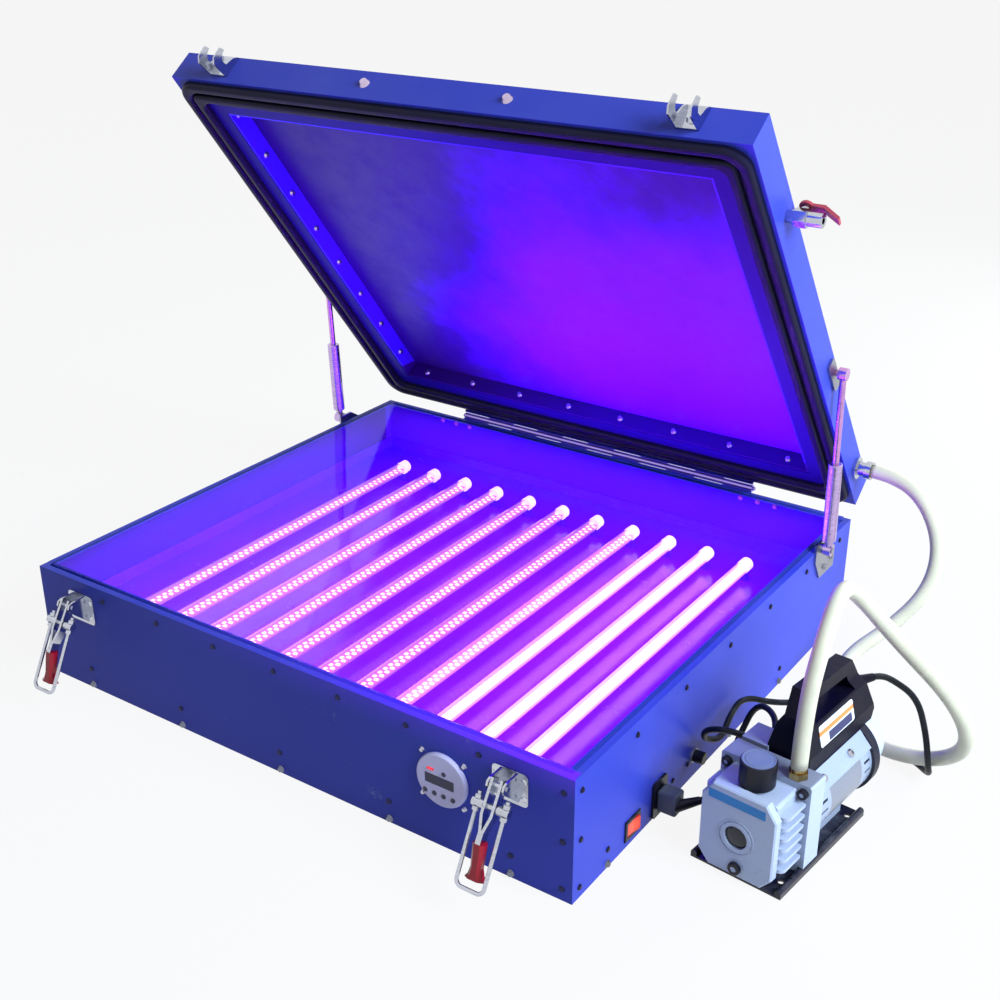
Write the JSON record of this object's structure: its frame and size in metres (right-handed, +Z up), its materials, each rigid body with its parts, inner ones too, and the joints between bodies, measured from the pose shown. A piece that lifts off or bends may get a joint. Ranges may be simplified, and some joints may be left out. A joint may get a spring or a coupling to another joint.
{
  "type": "ultraviolet plate dryer",
  "caption": "Flat sheet-metal box with ultraviolet lamps under a glass top, a hinged vacuum lid with latches and gas struts, and a small vacuum pump joined by a hose.",
  "frame": {"origin": "centre of the box's underside, on the floor", "axes": "+X to the right seen from the front, +Y to the hinged back, +Z up"},
  "size_m": [1.0469, 0.7948, 0.724],
  "materials": {
    "blue_paint": "satin powder coat",
    "glass": "clear polished",
    "tray_paint": "satin",
    "lamp": "frosted",
    "led_board": "matt",
    "lamp_cap": "satin",
    "driver": "matt",
    "steel": "brushed",
    "chrome": "bright",
    "dark_screw": "dark plated",
    "black_plastic": "matt",
    "red_plastic": "gloss",
    "timer_plastic": "satin",
    "black_paint": "satin",
    "red_paint": "satin",
    "seal_rubber": "matt",
    "blanket_rubber": "satin",
    "brass": "machined",
    "cast_aluminium": "as cast",
    "silver_plastic": "satin",
    "hose_plastic": "satin",
    "cord_rubber": "matt"
  },
  "bodies": {
    "box": {"base_pan": "blue_paint", "front_panel": "blue_paint", "rear_panel": "blue_paint", "left_side_panel": "blue_paint", "right_side_panel": "blue_paint", "glass_plate": "glass", "inner_tray": "tray_paint", "uv_tubes": "lamp", "led_strips": "led_board", "tube_end_caps": "lamp_cap", "led_driver": "driver", "panel_screws": "dark_screw", "rocker_bezel": "black_plastic", "timer_body": "timer_plastic", "power_sockets": "black_plastic", "fuse_holder": "black_plastic", "hinge_box_leaf": "blue_paint", "hinge_pin": "steel", "latch_bases": "chrome", "strut_box_brackets": "steel", "pump_base": "black_paint", "pump_frame": "cast_aluminium", "pump_oil_box": "cast_aluminium", "pump_front_cover": "cast_aluminium", "pump_exhaust_cap": "black_plastic", "pump_inlet_fitting": "brass", "pump_motor": "cast_aluminium", "pump_fan_cover": "silver_plastic", "pump_handle": "black_plastic", "vacuum_hose": "hose_plastic", "pump_lead": "cord_rubber", "lead_plug": "black_plastic"},
    "lid": {"lid_frame_bars": "blue_paint", "lid_top_sheet": "blue_paint", "rubber_blanket": "blanket_rubber", "clamp_strips": "steel", "lid_screws": "chrome", "lid_seal": "seal_rubber", "lid_catches": "chrome", "hinge_lid_leaf": "blue_paint", "strut_lid_brackets": "steel", "valve_body": "chrome", "hose_port": "chrome"},
    "valve_lever": {"valve_lever": "red_paint"},
    "rocker": {"rocker": "red_plastic"},
    "pump_rotor": {"pump_rotor": "steel"},
    "left_latch_lever": {"left_latch_lever": "chrome", "left_latch_grip": "red_plastic"},
    "left_latch_loop": {"left_latch_loop": "chrome"},
    "left_strut_cylinder": {"left_strut_cylinder": "silver_plastic"},
    "left_strut_rod": {"left_strut_rod": "chrome"},
    "right_latch_lever": {"right_latch_lever": "chrome", "right_latch_grip": "red_plastic"},
    "right_latch_loop": {"right_latch_loop": "chrome"},
    "right_strut_cylinder": {"right_strut_cylinder": "silver_plastic"},
    "right_strut_rod": {"right_strut_rod": "chrome"},
    "timer_key_1": {"timer_key_1": "silver_plastic"},
    "timer_key_2": {"timer_key_2": "silver_plastic"},
    "timer_key_3": {"timer_key_3": "silver_plastic"},
    "timer_key_4": {"timer_key_4": "silver_plastic"}
  },
  "joints": [
    {"name": "lid_hinge", "type": "hinge", "parent": "box", "child": "lid", "pos_m": [0, 0.347, 0.151], "axis": [1, 0, 0], "range_deg": [0, 52.4], "stiffness_Nm_per_rad": 50, "springref_deg": -42.97, "deforming": ["vacuum_hose"]},
    {"name": "valve_lever_turn", "type": "hinge", "parent": "lid", "child": "valve_lever", "pos_m": [0.395, 0.04385, 0.60037], "axis": [0, 0.7923, 0.6101], "range_deg": [0, 90]},
    {"name": "rocker_tilt", "type": "hinge", "parent": "box", "child": "rocker", "pos_m": [0.38, -0.223, 0.021], "axis": [0, 0, 1], "range_deg": [0, 16]},
    {"name": "pump_rotor_spin", "type": "hinge", "parent": "box", "child": "pump_rotor", "pos_m": [0.49847, -0.21363, 0.056], "axis": [0.1045, 0.9945, 0], "continuous": true},
    {"name": "timer_key_1_press", "type": "slide", "parent": "box", "child": "timer_key_1", "axis": [0, 1, 0], "range_m": [0, 0.0006], "stiffness_N_per_m": 400},
    {"name": "timer_key_2_press", "type": "slide", "parent": "box", "child": "timer_key_2", "axis": [0, 1, 0], "range_m": [0, 0.0006], "stiffness_N_per_m": 400},
    {"name": "timer_key_3_press", "type": "slide", "parent": "box", "child": "timer_key_3", "axis": [0, 1, 0], "range_m": [0, 0.0006], "stiffness_N_per_m": 400},
    {"name": "timer_key_4_press", "type": "slide", "parent": "box", "child": "timer_key_4", "axis": [0, 1, 0], "range_m": [0, 0.0006], "stiffness_N_per_m": 400},
    {"name": "left_latch_lever_swing", "type": "hinge", "parent": "box", "child": "left_latch_lever", "pos_m": [-0.308, -0.361, 0.125], "axis": [-1, 0, 0], "range_deg": [-25, 128]},
    {"name": "left_latch_loop_swing", "type": "hinge", "parent": "left_latch_lever", "child": "left_latch_loop", "pos_m": [-0.308, -0.37239, 0.10677], "axis": [1, 0, 0], "range_deg": [-170, 45]},
    {"name": "left_strut_swing", "type": "hinge", "parent": "box", "child": "left_strut_cylinder", "pos_m": [-0.392, 0.233, 0.151], "axis": [1, 0, 0], "range_deg": [0, 71.23]},
    {"name": "left_strut_slide", "type": "slide", "parent": "left_strut_cylinder", "child": "left_strut_rod", "axis": [0, -0.0574, 0.9984], "range_m": [-0.07951, 0]},
    {"name": "right_latch_lever_swing", "type": "hinge", "parent": "box", "child": "right_latch_lever", "pos_m": [0.308, -0.361, 0.125], "axis": [-1, 0, 0], "range_deg": [-25, 128]},
    {"name": "right_latch_loop_swing", "type": "hinge", "parent": "right_latch_lever", "child": "right_latch_loop", "pos_m": [0.308, -0.37239, 0.10677], "axis": [1, 0, 0], "range_deg": [-170, 45]},
    {"name": "right_strut_swing", "type": "hinge", "parent": "box", "child": "right_strut_cylinder", "pos_m": [0.392, 0.233, 0.151], "axis": [1, 0, 0], "range_deg": [0, 71.23]},
    {"name": "right_strut_slide", "type": "slide", "parent": "right_strut_cylinder", "child": "right_strut_rod", "axis": [0, -0.0574, 0.9984], "range_m": [-0.07951, 0]}
  ],
  "couplings": [
    {"joint": "left_strut_swing", "follows": "lid_hinge", "ratio": 1.3593},
    {"joint": "left_strut_slide", "follows": "lid_hinge", "m_per_rad": -0.086825},
    {"joint": "right_strut_swing", "follows": "lid_hinge", "ratio": 1.3593},
    {"joint": "right_strut_slide", "follows": "lid_hinge", "m_per_rad": -0.086825}
  ]
}
